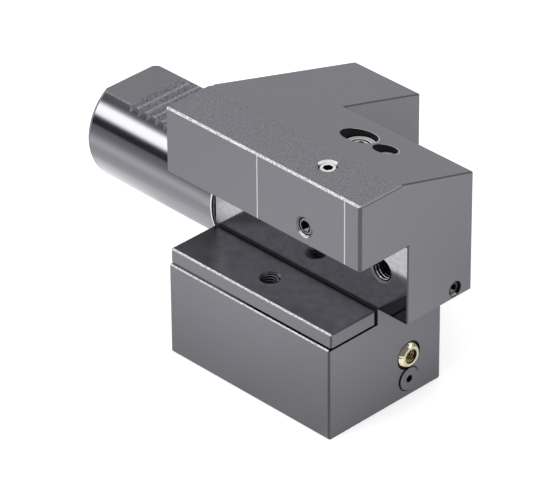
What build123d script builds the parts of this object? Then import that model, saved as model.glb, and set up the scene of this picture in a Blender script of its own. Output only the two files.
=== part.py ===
from build123d import *
import math
import os

# Axial tool holder with a 40 mm serrated shank and a side channel for 25 mm square tools.
# Millimetres. The origin is on the shank axis, in the plane of the flange face.
# +X points away from the turret, +Z is up, and the tool channel opens towards -Y.

# Shank
shank_d = 40.0
shank_length = 63.0
shank_lead = 1.5
shank_lead_depth = 0.87
centre_hole_d = 5.0
centre_hole_depth = 7.0
centre_mouth_d = 9.0
centre_mouth_angle = 60.0
rack_flat_height = 16.0
rack_flat_chamfer = 0.3
guide_land = 9.0
shank_ease = 0.02
tooth_pitch = 4.0
tooth_depth = 1.5
tooth_root_width = 0.6
tooth_mouth_width = 2.8
tooth_count = 6
first_tooth = 28.2

# Seal ring in its groove beside the flange
ring_collar = 0.5
ring_groove_width = 2.5
ring_groove_depth = 2.5
ring_play = 0.05

# Body, seen along the shank: front, rear and heights from the shank axis
holder_length = 85.0
front = 42.5
rear = 7.5
bottom = 43.0
jaw_top = 48.6
crease = 24.3
slope_angle = 15.8
flange_rear = 42.5
flange_thickness = 29.0
flange_lap = 3.0
left_relief = 0.5
step_underside = 3.5
step_length = 13.2
inner_fillet = 2.0
long_chamfer = 0.4
jaw_chamfer = 0.65
end_chamfer = 0.4
jaw_corner_chamfer = 0.9
block_corner_chamfer = 0.6

# Tool channel
seat_height = 25.0
wall_depth = 21.1
wall_relief = 0.5
corner_relief_d = 1.2

# Clamping plate, at rest on its ledge below the tool
plate_top = 4.0
plate_thickness = 5.5
plate_width = 20.0
plate_wall_gap = 0.2
plate_chamfer = 0.5
plate_foot_chamfer = 0.5
clamp_clearance = 0.05
clamp_screw_d = 10.0
clamp_screw_length = 25.0
clamp_screw_tip_chamfer = 1.2
clamp_screw_hex = 5.0
clamp_screw_socket_depth = 6.0
clamp_screw_inner = 11.0
clamp_screw_outer = 27.0
plate_hole_from_end = 36.8

# Screw and spring that pull the plate down
retainer_d = 6.0
retainer_length = 20.0
retainer_recess = 3.0
retainer_head_d = 10.0
retainer_head_height = 6.0
retainer_chamfer = 0.6
retainer_hex = 5.0
retainer_hex_depth = 3.0
retainer_bore_d = 6.6
retainer_pocket_d = 11.4
spring_length = 9.5
spring_wire_d = 0.9
spring_mean_d = 8.4
spring_turns = 4
spring_end_gap = 0.05

# Swivelling coolant nozzle on the end of the lower block
nozzle_y = -6.7
nozzle_z = -27.9
ball_d = 10.0
ball_depth = 2.5
ball_flat = 3.6
ball_play = 0.1
ball_bore_d = 4.2
nozzle_ring_d = 7.8
nozzle_ring_section = 2.0
nozzle_ring_play = 0.05
lock_screw_drop = 8.8
lock_screw_d = 4.0
lock_screw_head_d = 8.0
lock_screw_head_rim = 0.8
lock_screw_proud = 0.4
lock_pocket_play = 0.45
lock_screw_length = 12.0
lock_hole_extra = 2.0
lock_screw_hex = 2.5
lock_screw_hex_depth = 1.6

# Coolant galleries and the screws that close them
screw_play = 0.05
plug_chamfer_share = 0.08
socket_drill_share = 0.9
socket_cone_share = 0.25
socket_cone_tip = 0.1
gallery_d = 4.0
gallery_start = 15.0
cross_gallery_from_end = 10.6
cross_gallery_z = 31.1
top_plug_y = -32.2
jaw_plug_d = 6.0
jaw_plug_length = 6.0
jaw_plug_recess = 0.6
jaw_plug_hex = 3.0
jaw_plug_hex_depth = 3.0
jaw_plug_mouth = 0.6
end_plug_d = 5.0
end_plug_length = 6.0
end_plug_recess = 0.8
end_plug_hex = 2.5
end_plug_hex_depth = 2.5
end_plug_mouth = 0.2
inlet_y = 29.0
inlet_d = 6.0
flange_plug_d = 8.0
flange_plug_length = 8.0
flange_plug_recess = 1.0
flange_plug_hex = 4.0
flange_plug_hex_depth = 4.0
flange_plug_mouth = 0.6

# Collar plug with its washer and the pressed cap, both sunk in the slope
chamber_spacing = 11.5
chamber_y = -6.8
chamber_pocket_d = 12.2
chamber_d = 10.0
chamber_floor_z = -4.0
collar_d = 11.9
collar_top_z = 40.1
collar_thickness = 2.2
collar_chamfer = 0.4
collar_groove_d = 7.4
collar_groove_width = 0.6
collar_groove_depth = 0.4
collar_stem_length = 8.0
collar_hex = 5.0
collar_hex_depth = 4.5
washer_thickness = 1.0
cap_y = -7.0
cap_pocket_d = 8.2
cap_play = 0.03
cap_top_z = 40.5
cap_thickness = 2.5
cap_dome = 0.25
cap_dome_width = 1.0

# Threaded hole for a length stop in the channel wall
stop_hole_from_end = 11.5
stop_hole_z = 11.5
stop_hole_d = 8.0
stop_hole_depth = 12.0
stop_hole_mouth = 0.6

# Levels and places that follow from the sizes above
slope_fall = math.tan(math.radians(slope_angle))
lower_block_end = holder_length - step_length
plate_hole_x = lower_block_end - plate_hole_from_end
cross_gallery_x = lower_block_end - cross_gallery_from_end
chamber_x = cross_gallery_x - chamber_spacing
stop_hole_x = holder_length - stop_hole_from_end
wall_y = -(front - wall_depth)
ledge_z = -plate_top - plate_thickness
plate_rear_y = wall_y - plate_wall_gap
plate_front_y = plate_rear_y - plate_width
plate_mid_y = plate_rear_y - plate_width / 2
flange_foot = -bottom + (flange_rear - rear) * slope_fall
ring_section = ring_groove_depth - 2 * ring_play
ring_r = shank_d / 2 - ring_play - ring_section / 2
ball_x = lower_block_end - ball_depth
lock_screw_z = nozzle_z - lock_screw_drop
head_slope_depth = (lock_screw_head_d - lock_screw_d) / 2
retainer_tip_z = -plate_top - retainer_recess
retainer_head_z = retainer_tip_z - retainer_length
spring_top_z = retainer_head_z + spring_length
clamp_screw_spots = [
    plate_hole_x - clamp_screw_outer,
    plate_hole_x - clamp_screw_inner,
    plate_hole_x + clamp_screw_inner,
    plate_hole_x + clamp_screw_outer,
]
overrun = 5.0
reach = 0.1


def slope_z(y):
    """Height of the sloping top at a distance y from the shank axis."""
    return jaw_top - (y + crease) * slope_fall


def rod(start, along, diameter, length):
    """A round bar from a start point, along a direction."""
    plane = Plane(origin=start, z_dir=along)
    return plane * Cylinder(diameter / 2, length, align=(Align.CENTER, Align.CENTER, Align.MIN))


def cone(start, along, d_start, d_end, length):
    """A tapered bar from a start point, along a direction."""
    plane = Plane(origin=start, z_dir=along)
    return plane * Cone(d_start / 2, d_end / 2, length, align=(Align.CENTER, Align.CENTER, Align.MIN))


def socket(start, along, across_flats, depth):
    """A hexagonal key socket with the drill's shallow cone at its bottom."""
    plane = Plane(origin=start, z_dir=along)
    outline = plane * RegularPolygon(across_flats / 2, 6, major_radius=False)
    drill_d = socket_drill_share * across_flats
    tip = cone(start, along, drill_d, socket_cone_tip, depth + socket_cone_share * across_flats)
    return extrude(outline, amount=depth) + tip


def mouthed_hole(start, along, diameter, length, mouth):
    """A drilled hole whose mouth has a small countersink."""
    wide = diameter + 2 * mouth
    return rod(start, along, diameter, length) + cone(start, along, wide, diameter, mouth)


def prism(points, x_start, x_end):
    """A bar along X with the given outline in Y and Z."""
    outline = Plane.YZ.offset(x_start) * make_face(Polyline(points, close=True))
    return extrude(outline, amount=x_end - x_start)


def channel_side():
    """Front edge of the body from the jaw's top down to the foot, round the tool channel."""
    return [
        (-front, jaw_top),
        (-front, seat_height),
        (wall_y, seat_height),
        (wall_y, -step_underside),
        (wall_y + wall_relief, -step_underside),
        (wall_y + wall_relief, ledge_z),
        (-front, ledge_z),
        (-front, -bottom),
    ]


def narrow_block():
    """Jaw, channel wall and lower block, with their long edges broken."""
    outline = channel_side() + [(rear, -bottom), (rear, slope_z(rear)), (-crease, jaw_top)]
    block = prism(outline, left_relief, holder_length)
    long_edges = block.edges().filter_by(Axis.X)
    jaw_edge = long_edges.filter_by_position(Axis.Y, -front - reach, -front + reach).sort_by(Axis.Z)[-1]
    inner = long_edges.filter_by_position(Axis.Y, wall_y - reach, wall_y + wall_relief + reach)
    crease_edge = long_edges.filter_by_position(Axis.Y, -crease - reach, -crease + reach)
    others = [e for e in long_edges if e not in [jaw_edge, *inner, *crease_edge]]
    block = chamfer(others, long_chamfer)
    jaw_edge = block.edges().filter_by(Axis.X).filter_by_position(Axis.Y, -front - reach, -front + reach)
    block = chamfer(jaw_edge.sort_by(Axis.Z)[-1], jaw_chamfer)
    under = Box(holder_length, 2 * front, bottom, align=(Align.MIN, Align.CENTER, Align.MAX))
    return block - Pos(lower_block_end, 0, -step_underside) * under


def corner_wedge(x, leg, low, high):
    """Three-sided bar that takes the body's upright front corner off at one X."""
    points = [(x, -front), (x - leg, -front), (x, -front + leg)]
    return Pos(0, 0, low) * extrude(make_face(Polyline(points, close=True)), amount=high - low)


def broken_ends(block):
    """The same block with the edges of its two end faces broken."""
    right = block.faces().filter_by(Axis.X).sort_by(Axis.X)[-1]
    block = chamfer(right.edges(), end_chamfer)
    block -= corner_wedge(holder_length, jaw_corner_chamfer, seat_height, jaw_top)
    block -= corner_wedge(lower_block_end, block_corner_chamfer, -bottom, ledge_z)
    x = lower_block_end
    points = [(x, ledge_z), (x - long_chamfer, ledge_z), (x, ledge_z - long_chamfer)]
    outline = Plane.XZ.offset(front) * make_face(Polyline(points, close=True))
    return block - extrude(outline, amount=-wall_depth - wall_relief)


def flange():
    """The wide plate that seats on the turret, behind the channel wall."""
    points = [
        (wall_y, seat_height),
        (wall_y, -step_underside),
        (wall_y + wall_relief, -step_underside),
        (wall_y + wall_relief, ledge_z),
        (wall_y, ledge_z),
        (wall_y, -bottom),
        (rear, -bottom),
        (flange_rear, flange_foot),
        (flange_rear, slope_z(flange_rear)),
        (-crease + flange_lap, slope_z(-crease + flange_lap)),
    ]
    plate = prism(points, 0, flange_thickness)
    back = plate.faces().filter_by(Axis.Y).sort_by(Axis.Y)[-1]
    slope = plate.faces().sort_by(Axis.Z)[-1]
    slope_end = slope.edges().sort_by(Axis.X)[-1]
    return chamfer([*back.edges(), slope_end], long_chamfer)


def rack_groove(distance):
    """One tooth space across the shank's flat, at a distance from the flange face."""
    top = rack_flat_height + reach
    root = rack_flat_height - tooth_depth
    points = [
        (-distance - tooth_mouth_width / 2, top),
        (-distance - tooth_root_width / 2, root),
        (-distance + tooth_root_width / 2, root),
        (-distance + tooth_mouth_width / 2, top),
    ]
    outline = Plane.XZ * make_face(Polyline(points, close=True))
    return extrude(outline, amount=shank_d, both=True)


def shank():
    """Round shank with its seal groove, serrated flat and centre hole."""
    bar = rod((overrun, 0, 0), (-1, 0, 0), shank_d, guide_land + overrun)
    eased_d = shank_d - 2 * shank_ease
    bar += rod((-guide_land, 0, 0), (-1, 0, 0), eased_d, shank_length - shank_lead - guide_land)
    lead_start = (-shank_length + shank_lead, 0, 0)
    bar += cone(lead_start, (-1, 0, 0), eased_d, eased_d - 2 * shank_lead_depth, shank_lead)
    groove_start = (-ring_collar, 0, 0)
    outer = rod(groove_start, (-1, 0, 0), shank_d + overrun, ring_groove_width)
    bar -= outer - rod(groove_start, (-1, 0, 0), shank_d - 2 * ring_groove_depth, ring_groove_width)
    flat = Box(shank_length, shank_d, shank_d, align=(Align.MAX, Align.CENTER, Align.MIN))
    bar -= Pos(-guide_land, 0, rack_flat_height) * flat
    flat_face = bar.faces().filter_by(Axis.Z).sort_by(Axis.Z)[-1]
    bar = chamfer(flat_face.edges().filter_by(Axis.X), rack_flat_chamfer)
    for i in range(tooth_count):
        bar -= rack_groove(first_tooth + i * tooth_pitch)
    tip = (-shank_length, 0, 0)
    mouth = (centre_mouth_d - centre_hole_d) / 2 / math.tan(math.radians(centre_mouth_angle / 2))
    bar -= rod(tip, (1, 0, 0), centre_hole_d, centre_hole_depth)
    return bar - cone(tip, (1, 0, 0), centre_mouth_d, centre_hole_d, mouth)


def screw_ways():
    """Holes in the lower block for the clamp screws and the plate's own screw."""
    foot = -bottom - overrun
    height = ledge_z - foot + overrun
    ways = rod((plate_hole_x, plate_mid_y, foot), (0, 0, 1), retainer_bore_d, height)
    ways += rod((plate_hole_x, plate_mid_y, foot), (0, 0, 1), retainer_pocket_d, spring_top_z - foot)
    for x in clamp_screw_spots:
        ways += rod((x, plate_mid_y, foot), (0, 0, 1), clamp_screw_d + 2 * clamp_clearance, height)
    return ways


def nozzle_ways():
    """Pocket for the ball and its ring, the lock screw's hole and the feed behind."""
    face = (lower_block_end, nozzle_y, nozzle_z)
    pocket = rod(face, (-1, 0, 0), ball_d + 2 * ball_play, pocket_depth())
    pocket += rod(face, (-1, 0, 0), gallery_d, lower_block_end - chamber_x)
    screw_face = (lower_block_end, nozzle_y, lock_screw_z)
    hole_d = lock_screw_d + 2 * screw_play
    pocket_d = lock_screw_head_d + 2 * lock_pocket_play
    rim = lock_screw_head_rim - lock_screw_proud + screw_play
    pocket += rod(screw_face, (-1, 0, 0), hole_d, lock_screw_length + lock_hole_extra)
    pocket += rod(screw_face, (-1, 0, 0), pocket_d, rim)
    slope_start = (lower_block_end - rim, nozzle_y, lock_screw_z)
    head_d = lock_screw_head_d + 2 * screw_play
    return pocket + cone(slope_start, (-1, 0, 0), head_d, hole_d, head_slope_depth)


def ring_reach():
    """Distance from the ball's centre back to the middle of its seal ring."""
    apart = ball_d / 2 + nozzle_ring_section / 2 + nozzle_ring_play
    return math.sqrt(apart**2 - (nozzle_ring_d / 2) ** 2)


def pocket_depth():
    """Depth of the ball pocket, from the block's end to behind the ring."""
    return ball_depth + ring_reach() + nozzle_ring_section / 2 + nozzle_ring_play


def galleries():
    """Drilled coolant ways, each with the mouth that its screw or cap closes."""
    play = 2 * screw_play
    main_start = (holder_length, 0, 0)
    ways = rod(main_start, (-1, 0, 0), gallery_d, holder_length - gallery_start)
    plug_depth = end_plug_recess + end_plug_length
    ways += mouthed_hole(main_start, (-1, 0, 0), end_plug_d + play, plug_depth, end_plug_mouth)
    jaw_depth = jaw_plug_recess + jaw_plug_length
    front_mouth = (cross_gallery_x, -front, cross_gallery_z)
    ways += rod(front_mouth, (0, 1, 0), gallery_d, front + cap_y)
    ways += mouthed_hole(front_mouth, (0, 1, 0), jaw_plug_d + play, jaw_depth, jaw_plug_mouth)
    top_mouth = (cross_gallery_x, top_plug_y, jaw_top)
    ways += rod(top_mouth, (0, 0, -1), gallery_d, jaw_top - cross_gallery_z)
    ways += mouthed_hole(top_mouth, (0, 0, -1), jaw_plug_d + play, jaw_depth, jaw_plug_mouth)
    cap_floor = cap_top_z - cap_thickness
    cap_height = slope_z(cap_y) + overrun - cap_floor
    ways += rod((cross_gallery_x, cap_y, cap_floor), (0, 0, 1), cap_pocket_d, cap_height)
    drill = Vector(0, -cap_y, -cap_floor)
    ways += rod((cross_gallery_x, cap_y, cap_floor), drill, gallery_d, drill.length)
    return ways + chamber() + flange_ways()


def chamber():
    """Upright bore under the collar plug, down to the nozzle's feed."""
    seat = collar_top_z - collar_thickness - washer_thickness
    pocket_height = slope_z(chamber_y) + overrun - seat
    centre = (chamber_x, chamber_y, seat)
    ways = rod(centre, (0, 0, 1), chamber_pocket_d, pocket_height)
    ways += rod(centre, (0, 0, -1), chamber_d + 2 * screw_play, seat - chamber_floor_z)
    feed_top = (chamber_x, nozzle_y, chamber_floor_z)
    return ways + rod(feed_top, (0, 0, -1), gallery_d, chamber_floor_z - nozzle_z)


def flange_ways():
    """Coolant inlet in the flange face and the cross bore that it meets."""
    ways = rod((0, inlet_y, 0), (1, 0, 0), inlet_d, gallery_start)
    mouth = (gallery_start, flange_rear, 0)
    ways += rod(mouth, (0, -1, 0), gallery_d, flange_rear)
    depth = flange_plug_recess + flange_plug_length
    return ways + mouthed_hole(mouth, (0, -1, 0), flange_plug_d + 2 * screw_play, depth, flange_plug_mouth)


def stop_hole():
    """Blind threaded hole in the channel wall."""
    mouth = (stop_hole_x, wall_y, stop_hole_z)
    return mouthed_hole(mouth, (0, 1, 0), stop_hole_d, stop_hole_depth, stop_hole_mouth)


def corner_relief():
    """Small round groove that lets the tool's corner seat under the jaw."""
    start = (-overrun, wall_y, seat_height)
    return rod(start, (1, 0, 0), corner_relief_d, holder_length + 2 * overrun)


def holder_body():
    """The one-piece forging: flange, shank, jaw, channel wall and lower block."""
    block = broken_ends(narrow_block())
    body = block + flange()
    inner = body.edges().filter_by(Axis.Z).filter_by_position(
        Axis.X, flange_thickness - reach, flange_thickness + reach
    )
    body = fillet(inner.filter_by_position(Axis.Y, rear - reach, rear + reach), inner_fillet)
    body = body + shank()
    return body - corner_relief() - screw_ways() - nozzle_ways() - galleries() - stop_hole()


def clamping_plate():
    """Hardened plate that the clamp screws press up against the tool."""
    plate = Box(lower_block_end, plate_width, plate_thickness, align=(Align.MIN, Align.MIN, Align.MAX))
    plate = Pos(0, plate_front_y, -plate_top) * plate
    plate = chamfer(plate.edges().filter_by(Axis.Z), plate_chamfer)
    plate = chamfer(plate.faces().sort_by(Axis.Z)[-1].edges(), plate_chamfer)
    plate = chamfer(plate.faces().sort_by(Axis.Z)[0].edges(), plate_foot_chamfer)
    top = (plate_hole_x, plate_mid_y, -plate_top)
    hole_d = retainer_d + 2 * screw_play
    return plate - mouthed_hole(top, (0, 0, -1), hole_d, plate_thickness + overrun, jaw_plug_mouth)


def clamp_screw(x):
    """Flat-point set screw under the plate, driven from below."""
    tip = (x, plate_mid_y, ledge_z)
    screw = rod(tip, (0, 0, -1), clamp_screw_d, clamp_screw_length)
    rims = screw.edges().filter_by(GeomType.CIRCLE).sort_by(Axis.Z)
    screw = chamfer(rims[-1], clamp_screw_tip_chamfer)
    end_z = ledge_z - clamp_screw_length
    return screw - socket((x, plate_mid_y, end_z), (0, 0, 1), clamp_screw_hex, clamp_screw_socket_depth)


def plate_retaining_screw():
    """Cap screw that holds the plate from below, through its spring."""
    head_top = (plate_hole_x, plate_mid_y, retainer_head_z)
    stem = rod(head_top, (0, 0, 1), retainer_d, retainer_length)
    stem = chamfer(stem.edges().filter_by(GeomType.CIRCLE).sort_by(Axis.Z)[-1], retainer_chamfer)
    head = rod(head_top, (0, 0, -1), retainer_head_d, retainer_head_height)
    head = chamfer(head.edges().filter_by(GeomType.CIRCLE).sort_by(Axis.Z)[0], retainer_chamfer)
    under = (plate_hole_x, plate_mid_y, retainer_head_z - retainer_head_height)
    return stem + head - socket(under, (0, 0, 1), retainer_hex, retainer_hex_depth)


def plate_return_spring():
    """Compression spring between the screw's head and the pocket's ceiling."""
    turn_rise = (spring_length - spring_wire_d - 2 * spring_end_gap) / spring_turns
    path = Helix(turn_rise, turn_rise, spring_mean_d / 2)
    section = Plane(origin=path @ 0, z_dir=path % 0) * Circle(spring_wire_d / 2)
    turn = sweep(section, path=path, is_frenet=True)
    coil = turn
    for i in range(1, spring_turns):
        coil += Pos(0, 0, i * turn_rise) * turn
    base = retainer_head_z + spring_end_gap + spring_wire_d / 2
    return Pos(plate_hole_x, plate_mid_y, base) * coil


def nozzle_ball():
    """Brass ball with flats and a threaded way through it."""
    ball = Sphere(ball_d / 2)
    keep = Box(2 * ball_flat, 2 * ball_d, 2 * ball_d)
    ball = ball & keep
    ball -= rod((-ball_d, 0, 0), (1, 0, 0), ball_bore_d, 2 * ball_d)
    return Pos(ball_x, nozzle_y, nozzle_z) * ball


def seal_ring(x, y, z, mean_d, section_d):
    """A round-section ring with its axis along X."""
    return Plane(origin=(x, y, z), z_dir=(1, 0, 0)) * Torus(mean_d / 2, section_d / 2)


def nozzle_lock_screw():
    """Countersunk screw whose head traps the ball's edge."""
    face_x = lower_block_end + lock_screw_proud
    face = (face_x, nozzle_y, lock_screw_z)
    screw = rod(face, (-1, 0, 0), lock_screw_d, lock_screw_length)
    screw += rod(face, (-1, 0, 0), lock_screw_head_d, lock_screw_head_rim)
    slope_start = (face_x - lock_screw_head_rim, nozzle_y, lock_screw_z)
    screw += cone(slope_start, (-1, 0, 0), lock_screw_head_d, lock_screw_d, head_slope_depth)
    return screw - socket(face, (-1, 0, 0), lock_screw_hex, lock_screw_hex_depth)


def plug_screw(mouth, along, recess, diameter, length, hex_size, hex_depth):
    """Headless screw sunk in a hole, with its socket towards the mouth."""
    start = Vector(*mouth) + Vector(*along) * recess
    screw = rod(start, along, diameter, length)
    rims = screw.edges().filter_by(GeomType.CIRCLE)
    screw = chamfer(rims, plug_chamfer_share * diameter)
    return screw - socket(start, along, hex_size, hex_depth)


def collar_plug():
    """Collar screw plug with a turned ring groove round its socket."""
    top = (chamber_x, chamber_y, collar_top_z)
    plug = rod(top, (0, 0, -1), collar_d, collar_thickness)
    plug = chamfer(plug.edges().filter_by(GeomType.CIRCLE).sort_by(Axis.Z)[-1], collar_chamfer)
    plug += rod(top, (0, 0, -1), chamber_d, collar_thickness + washer_thickness + collar_stem_length)
    inner_d = collar_groove_d - 2 * collar_groove_width
    groove = rod(top, (0, 0, -1), collar_groove_d, collar_groove_depth)
    groove -= rod(top, (0, 0, -1), inner_d, collar_groove_depth)
    return plug - groove - socket(top, (0, 0, -1), collar_hex, collar_hex_depth)


def collar_washer():
    """Soft sealing washer under the plug's collar."""
    top = (chamber_x, chamber_y, collar_top_z - collar_thickness)
    ring = rod(top, (0, 0, -1), collar_d, washer_thickness)
    return ring - rod(top, (0, 0, -1), chamber_d + 2 * screw_play, washer_thickness)


def pressed_cap():
    """Slightly domed sealing cap over the slanting drill way."""
    foot = (cross_gallery_x, cap_y, cap_top_z - cap_thickness)
    cap = rod(foot, (0, 0, 1), cap_pocket_d - 2 * cap_play, cap_thickness)
    rim = cap.edges().filter_by(GeomType.CIRCLE).sort_by(Axis.Z)[-1]
    return chamfer(rim, cap_dome, cap_dome_width)


def pieces():
    """Every piece of the holder, by name."""
    made = {
        "holder_body": holder_body(),
        "clamping_plate": clamping_plate(),
        "plate_retaining_screw": plate_retaining_screw(),
        "plate_return_spring": plate_return_spring(),
        "nozzle_ball": nozzle_ball(),
        "nozzle_lock_screw": nozzle_lock_screw(),
        "slope_plug": collar_plug(),
        "slope_plug_washer": collar_washer(),
        "slope_cap": pressed_cap(),
    }
    for number, x in enumerate(clamp_screw_spots, start=1):
        made[f"clamp_screw_{number}"] = clamp_screw(x)
    shank_ring_x = -ring_collar - ring_groove_width / 2
    made["shank_seal_ring"] = seal_ring(shank_ring_x, 0, 0, 2 * ring_r, ring_section)
    nozzle_ring_x = ball_x - ring_reach()
    made["nozzle_seal_ring"] = seal_ring(
        nozzle_ring_x, nozzle_y, nozzle_z, nozzle_ring_d, nozzle_ring_section
    )
    jaw_sizes = (jaw_plug_recess, jaw_plug_d, jaw_plug_length, jaw_plug_hex, jaw_plug_hex_depth)
    made["jaw_front_plug"] = plug_screw((cross_gallery_x, -front, cross_gallery_z), (0, 1, 0), *jaw_sizes)
    made["jaw_top_plug"] = plug_screw((cross_gallery_x, top_plug_y, jaw_top), (0, 0, -1), *jaw_sizes)
    end_sizes = (end_plug_recess, end_plug_d, end_plug_length, end_plug_hex, end_plug_hex_depth)
    made["end_plug"] = plug_screw((holder_length, 0, 0), (-1, 0, 0), *end_sizes)
    flange_sizes = (
        flange_plug_recess,
        flange_plug_d,
        flange_plug_length,
        flange_plug_hex,
        flange_plug_hex_depth,
    )
    made["flange_plug"] = plug_screw((gallery_start, flange_rear, 0), (0, -1, 0), *flange_sizes)
    return made


os.makedirs("parts", exist_ok=True)
for name, piece in pieces().items():
    export_step(piece, f"parts/{name}.step")
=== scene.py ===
"""Turret tool holder: finishes, threads and small parts over its solids, on a studio floor."""

import math

import bpy
from mathutils import Matrix, Vector


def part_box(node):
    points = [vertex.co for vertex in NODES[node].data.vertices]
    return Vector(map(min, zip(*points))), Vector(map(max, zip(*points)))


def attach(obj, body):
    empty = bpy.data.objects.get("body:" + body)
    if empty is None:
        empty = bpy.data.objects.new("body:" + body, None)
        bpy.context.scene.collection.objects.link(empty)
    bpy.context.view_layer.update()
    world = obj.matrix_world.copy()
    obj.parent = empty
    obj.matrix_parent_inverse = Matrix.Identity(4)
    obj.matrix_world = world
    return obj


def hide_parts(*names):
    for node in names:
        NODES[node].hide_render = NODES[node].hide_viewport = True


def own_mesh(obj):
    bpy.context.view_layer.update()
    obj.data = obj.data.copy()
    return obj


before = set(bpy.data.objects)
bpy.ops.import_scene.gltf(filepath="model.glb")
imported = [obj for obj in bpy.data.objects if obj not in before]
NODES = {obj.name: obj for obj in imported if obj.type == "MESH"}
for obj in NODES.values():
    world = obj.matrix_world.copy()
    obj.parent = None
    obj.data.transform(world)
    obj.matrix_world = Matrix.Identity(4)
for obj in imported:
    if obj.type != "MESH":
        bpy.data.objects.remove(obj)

bl_info = {
    "name": "Turret Tool Holder",
    "version": (1, 0, 0),
    "blender": (4, 5, 0),
    "location": "3D View > Sidebar > Tool Holder",
    "description": "Dresses a turret tool holder and sets it on a studio floor",
    "category": "Object",
}

MM = 0.001
ALONG_X, ALONG_Y, ALONG_Z = Vector((1, 0, 0)), Vector((0, 1, 0)), Vector((0, 0, 1))


def linear(hex_colour):
    """An sRGB hex colour as linear RGB."""
    parts = [int(hex_colour[i : i + 2], 16) / 255 for i in (1, 3, 5)]
    return tuple(c / 12.92 if c <= 0.04045 else ((c + 0.055) / 1.055) ** 2.4 for c in parts)


def grey(level):
    """A linear grey with its alpha."""
    return (level, level, level, 1)


def middle(node):
    """Centre of a CAD node's box, in millimetres."""
    low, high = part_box(node)
    return Vector([(a + b) / 2 / MM for a, b in zip(low, high)])


def corner_mm(node):
    """Lowest and highest corner of a CAD node's box, in millimetres."""
    low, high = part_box(node)
    return Vector(low) / MM, Vector(high) / MM


# Places on the holder, in millimetres in the part's frame
BODY_LOW, BODY_HIGH = corner_mm("holder_body")
PLATE_LOW, PLATE_HIGH = corner_mm("clamping_plate")
FRONT_Y = BODY_LOW.y
CREASE_Y = -24.3
WALL_Y = -21.4
JAW_TOP_Z = BODY_HIGH.z
SEAT_Z = 25.0
LEDGE_Z = PLATE_LOW.z
FLANGE_X = (1.0, 40.0)
SCRIBED_X = (40.7, 78.45)
SHANK_R = 20.0
SEAL_GROOVE_X = -3.0
FLAT_START_X = -9.0
FLAT_Z = 16.0
RACK_X = (-50.0, -26.0)
PLUG_HOLE = Vector((49.7, -6.8, 30))
CAP_HOLE = Vector((61.2, -7.0, 30))
STOP_HOLE = Vector((73.5, WALL_Y, 11.5))
JAW_TOP_HOLE = Vector((61.2, -32.2, 40))
JAW_FRONT_HOLE = Vector((61.2, -42.5, 31.1))
END_HOLE = Vector((85, 0, 0))
# Holes on the slope whose rims get a painted highlight at their far side, with their radii
SLOPE_HOLES = ((PLUG_HOLE, 6.1), (CAP_HOLE, 4.1))
# Bores in the body: a point on the axis, the axis, and the wall's radius
BORES = (
    (PLUG_HOLE, ALONG_Z, 6.1),
    (PLUG_HOLE, ALONG_Z, 5.05),
    (CAP_HOLE, ALONG_Z, 4.1),
    (JAW_TOP_HOLE, ALONG_Z, 3.05),
    (JAW_FRONT_HOLE, ALONG_Y, 3.05),
    (END_HOLE, ALONG_X, 2.55),
    (STOP_HOLE, ALONG_Y, 4.0),
    (Vector((71.8, -6.7, -27.9)), ALONG_X, 5.1),
    (Vector((71.8, -6.7, -36.7)), ALONG_X, 4.45),
    (Vector((0, 29, 0)), ALONG_X, 3.0),
    (Vector((15, 42, 0)), ALONG_Y, 4.05),
    (Vector((35, -31.6, -30)), ALONG_Z, 5.7),
    *((Vector((x, -31.6, -30)), ALONG_Z, 5.05) for x in (8, 24, 46, 62)),
)
# The part of a normal along an axis, past which its face is square to that axis
SQUARE = 0.99
# Edges of turned pieces that bend by more than this stay sharp
SHARP_DEGREES = 35
# The thread through the nozzle ball: its outer radius, and how far out its crests' colour goes
BALL_THREAD_R = 2.45
BALL_CREST_R = 2.15

# What polished steel sees in the world, as grey levels by the sine of the height over the horizon
LEFT_PANELS = (
    (0, 0.01), (0.16, 0.01), (0.2, 0.03), (0.24, 0.4), (0.28, 0.9), (0.4, 1),
    (0.48, 0.95), (0.52, 0.4), (0.55, 0.05), (0.64, 0.06), (0.7, 0.15),
)
REAR_PANELS = ((0, 0.1), (0.3, 0.52), (0.7, 0.52), (0.9, 0.3))
# What it sees on the floor, as grey levels by the place in metres: along Y, and along X
FLOOR_FRONT = (
    (-0.5, 0.1), (-0.24, 0.12), (-0.165, 0.15), (-0.114, 0.26),
    (-0.086, 0.34), (-0.055, 0.24), (-0.037, 0.28), (-0.03, 0.33),
)
FLOOR_REAR = (
    (-0.09, 0.82), (-0.067, 0.62), (-0.055, 0.45), (-0.035, 0.38),
    (0.0, 0.45), (0.06, 0.3), (0.09, 0.95),
)
# What the floor returns to dull steel, along X: little before the end faces, which stay dark
FLOOR_BOUNCE = ((0.0, 0.9), (0.055, 0.9), (0.075, 0.02), (0.14, 0.02), (0.19, 0.97))
MIRROR_STRENGTH = 1.3


def colour_property(label, words, hex_colour):
    """A colour that the user can change."""
    return bpy.props.FloatVectorProperty(
        name=label, description=words, subtype="COLOR", size=3, min=0, max=1, default=linear(hex_colour)
    )


def length_property(label, words, default, least):
    """A length that the user can change, in millimetres, as Blender's camera unit shows it."""
    return bpy.props.FloatProperty(name=label, description=words, unit="CAMERA", default=default, min=least)


class HolderSizes(bpy.types.PropertyGroup):
    """Sizes of the small details."""

    clamp_pitch: length_property("Clamp screw pitch", "Thread pitch of the clamp screws", 1.5, 0.5)
    plug_pitch: length_property("Plug pitch", "Thread pitch of the small plugs", 1.0, 0.3)
    stop_pitch: length_property("Stop hole pitch", "Thread pitch in the channel wall", 1.25, 0.3)
    nozzle_pitch: length_property("Nozzle pitch", "Thread pitch through the ball", 0.8, 0.3)
    grain: length_property("Peening grain", "Width of one dimple on the jaw's top", 0.5, 0.1)
    spring_turns: bpy.props.FloatProperty(
        name="Spring turns", description="Turns of the plate's spring", default=4.0, min=1
    )


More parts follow.
